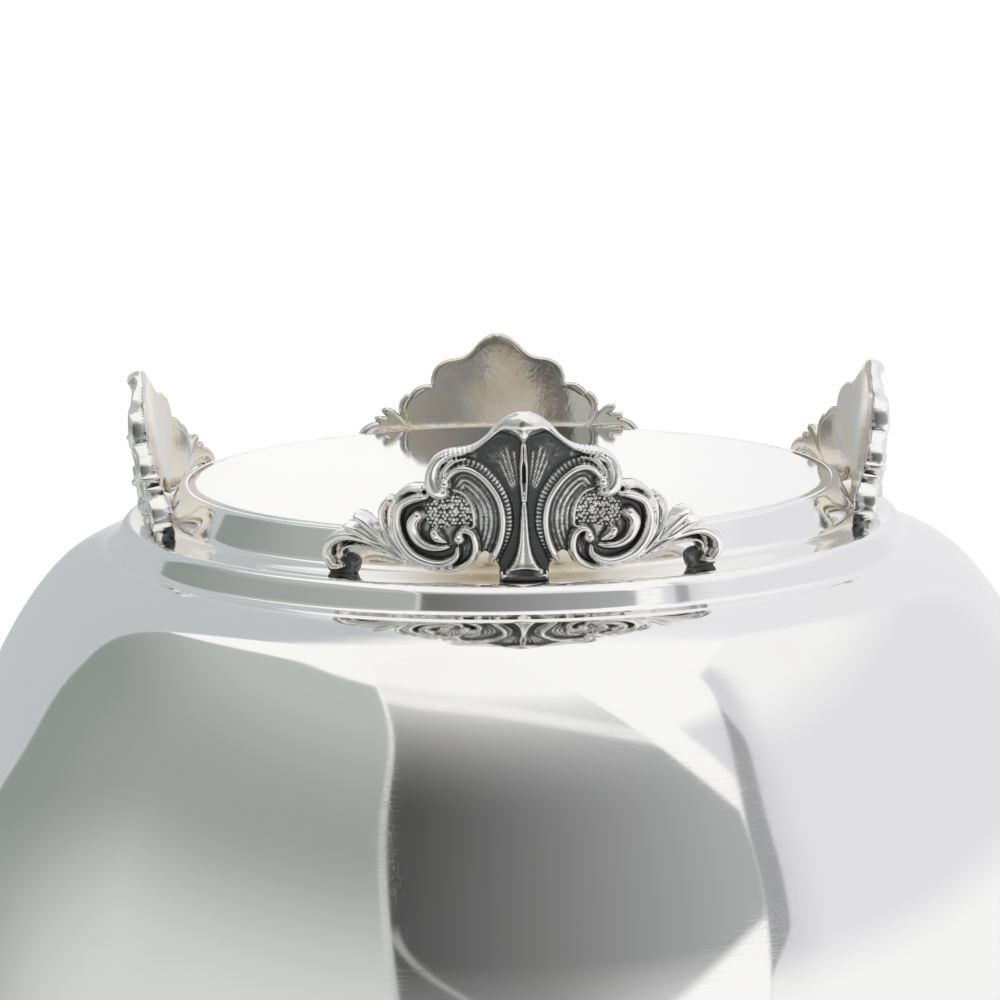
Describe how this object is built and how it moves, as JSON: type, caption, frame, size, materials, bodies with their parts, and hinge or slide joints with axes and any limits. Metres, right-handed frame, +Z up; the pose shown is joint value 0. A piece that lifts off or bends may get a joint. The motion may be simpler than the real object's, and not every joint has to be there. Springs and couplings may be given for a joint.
{
  "type": "footed sugar bowl",
  "caption": "Round polished silver bowl on a stepped plinth with cast scroll feet, open at the top.",
  "frame": {"origin": "centre of the bowl's axis on the surface that its feet stand on", "axes": "+Z up along the bowl's axis towards its mouth; the feet face -Y (front), +X (right), +Y (back) and -X (left)"},
  "size_m": [0.124, 0.124, 0.0965],
  "materials": {
    "body_silver": "mirror-polished silver, bare, with fine handling scratches",
    "rim_silver": "mirror-polished silver wire",
    "plinth_silver": "polished silver with a yellow-brown bloom beside the solder joints",
    "plate_silver": "polished silver with turning and handling marks",
    "foot_silver": "cast silver, high parts polished, hollows blackened"
  },
  "bodies": {
    "root": {"bowl_body": "body_silver", "rim_wire": "rim_silver", "plinth_collar": "plinth_silver", "base_plate": "plate_silver", "foot_front": "foot_silver", "foot_right": "foot_silver", "foot_back": "foot_silver", "foot_left": "foot_silver"}
  },
  "joints": []
}
